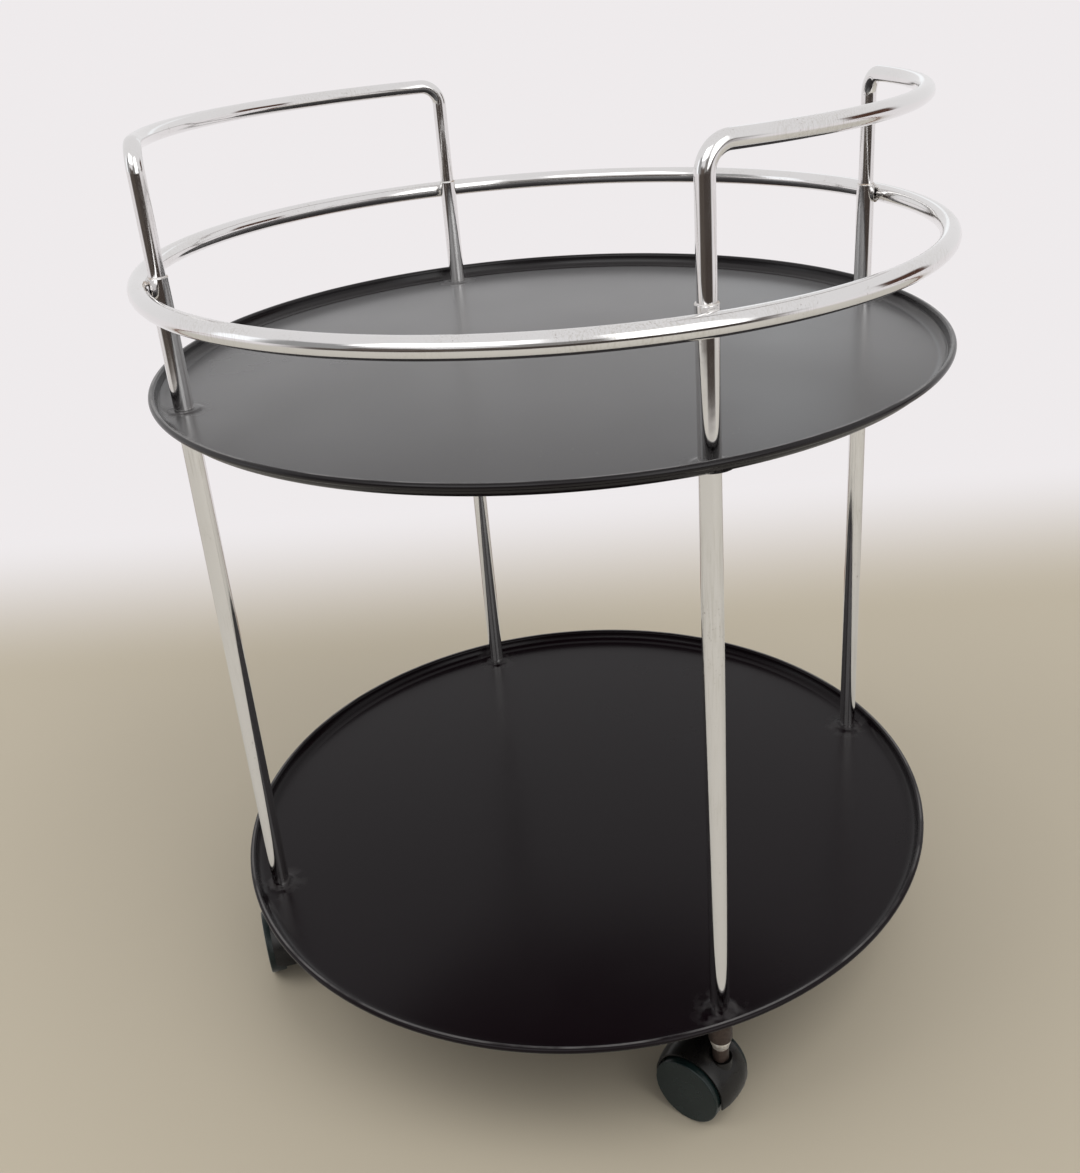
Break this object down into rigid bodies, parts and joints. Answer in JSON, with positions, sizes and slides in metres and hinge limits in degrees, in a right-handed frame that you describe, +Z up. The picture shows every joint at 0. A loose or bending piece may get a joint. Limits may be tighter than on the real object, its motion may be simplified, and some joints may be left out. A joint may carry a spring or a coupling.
{
  "type": "service table",
  "caption": "Round two-tier service table with pressed trays, tubular posts, a gallery ring, two bowed push handles and hooded twin-wheel castors.",
  "frame": {"origin": "on the floor under the middle of the two trays", "axes": "+Z up; +X towards the right-hand push handle; +Y towards the rear"},
  "size_m": [0.508, 0.5079, 0.6],
  "materials": {
    "chrome": "polished chrome plate with light pitting",
    "tray_paint": "satin black paint",
    "hood_plastic": "satin black moulding",
    "wheel_plastic": "satin black moulding with a cool cast",
    "tarnished_steel": "tarnished, rusty brown",
    "bright_steel": "turned, bright",
    "zinc_steel": "zinc plated",
    "weld_steel": "chromed weld beads"
  },
  "bodies": {
    "frame": {"castor_socket_front_left": "tarnished_steel", "castor_socket_front_right": "tarnished_steel", "castor_socket_rear_left": "tarnished_steel", "castor_socket_rear_right": "tarnished_steel", "castor_stem_front_left": "tarnished_steel", "castor_stem_front_right": "tarnished_steel", "castor_stem_rear_left": "tarnished_steel", "castor_stem_rear_right": "tarnished_steel", "handle_welds": "weld_steel", "left_handle": "chrome", "lower_post_foot_inserts": "zinc_steel", "lower_post_front_left": "chrome", "lower_post_front_right": "chrome", "lower_post_rear_left": "chrome", "lower_post_rear_right": "chrome", "lower_post_top_inserts": "zinc_steel", "lower_tray": "tray_paint", "right_handle": "chrome", "ring_rail": "chrome", "ring_welds": "weld_steel", "socket_bush_front_left": "bright_steel", "socket_bush_front_right": "bright_steel", "socket_bush_rear_left": "bright_steel", "socket_bush_rear_right": "bright_steel", "socket_studs": "zinc_steel", "tray_studs": "zinc_steel", "upper_post_front_left": "chrome", "upper_post_front_right": "chrome", "upper_post_inserts": "zinc_steel", "upper_post_rear_left": "chrome", "upper_post_rear_right": "chrome", "upper_tray": "tray_paint"},
    "castor_front_right": {"castor_hood_front_right": "hood_plastic", "castor_axle_front_right": "bright_steel"},
    "left_wheel_front_right": {"castor_left_wheel_front_right": "wheel_plastic"},
    "right_wheel_front_right": {"castor_right_wheel_front_right": "wheel_plastic"},
    "castor_front_left": {"castor_hood_front_left": "hood_plastic", "castor_axle_front_left": "bright_steel"},
    "left_wheel_front_left": {"castor_left_wheel_front_left": "wheel_plastic"},
    "right_wheel_front_left": {"castor_right_wheel_front_left": "wheel_plastic"},
    "castor_rear_left": {"castor_hood_rear_left": "hood_plastic", "castor_axle_rear_left": "bright_steel"},
    "left_wheel_rear_left": {"castor_left_wheel_rear_left": "wheel_plastic"},
    "right_wheel_rear_left": {"castor_right_wheel_rear_left": "wheel_plastic"},
    "castor_rear_right": {"castor_hood_rear_right": "hood_plastic", "castor_axle_rear_right": "bright_steel"},
    "left_wheel_rear_right": {"castor_left_wheel_rear_right": "wheel_plastic"},
    "right_wheel_rear_right": {"castor_right_wheel_rear_right": "wheel_plastic"}
  },
  "joints": [
    {"name": "swivel_front_right", "type": "hinge", "parent": "frame", "child": "castor_front_right", "pos_m": [0.16582, -0.16582, 0.044], "axis": [0, 0, 1], "continuous": true},
    {"name": "left_wheel_spin_front_right", "type": "hinge", "parent": "castor_front_right", "child": "left_wheel_front_right", "pos_m": [0.15175, -0.16272, 0.0225], "axis": [-0.2147, -0.9767, 0], "continuous": true},
    {"name": "right_wheel_spin_front_right", "type": "hinge", "parent": "castor_front_right", "child": "right_wheel_front_right", "pos_m": [0.15175, -0.16272, 0.0225], "axis": [-0.2147, -0.9767, 0], "continuous": true},
    {"name": "swivel_front_left", "type": "hinge", "parent": "frame", "child": "castor_front_left", "pos_m": [-0.16582, -0.16582, 0.044], "axis": [0, 0, 1], "continuous": true},
    {"name": "left_wheel_spin_front_left", "type": "hinge", "parent": "castor_front_left", "child": "left_wheel_front_left", "pos_m": [-0.17582, -0.15546, 0.0225], "axis": [-0.7193, -0.6947, 0], "continuous": true},
    {"name": "right_wheel_spin_front_left", "type": "hinge", "parent": "castor_front_left", "child": "right_wheel_front_left", "pos_m": [-0.17582, -0.15546, 0.0225], "axis": [-0.7193, -0.6947, 0], "continuous": true},
    {"name": "swivel_rear_left", "type": "hinge", "parent": "frame", "child": "castor_rear_left", "pos_m": [-0.16582, 0.16582, 0.044], "axis": [0, 0, 1], "continuous": true},
    {"name": "left_wheel_spin_rear_left", "type": "hinge", "parent": "castor_rear_left", "child": "left_wheel_rear_left", "pos_m": [-0.17829, 0.17302, 0.0225], "axis": [-0.5, -0.866, 0], "continuous": true},
    {"name": "right_wheel_spin_rear_left", "type": "hinge", "parent": "castor_rear_left", "child": "right_wheel_rear_left", "pos_m": [-0.17829, 0.17302, 0.0225], "axis": [-0.5, -0.866, 0], "continuous": true},
    {"name": "swivel_rear_right", "type": "hinge", "parent": "frame", "child": "castor_rear_right", "pos_m": [0.16582, 0.16582, 0.044], "axis": [0, 0, 1], "continuous": true},
    {"name": "left_wheel_spin_rear_right", "type": "hinge", "parent": "castor_rear_right", "child": "left_wheel_rear_right", "pos_m": [0.15229, 0.17074, 0.0225], "axis": [-0.342, -0.9397, 0], "continuous": true},
    {"name": "right_wheel_spin_rear_right", "type": "hinge", "parent": "castor_rear_right", "child": "right_wheel_rear_right", "pos_m": [0.15229, 0.17074, 0.0225], "axis": [-0.342, -0.9397, 0], "continuous": true}
  ]
}
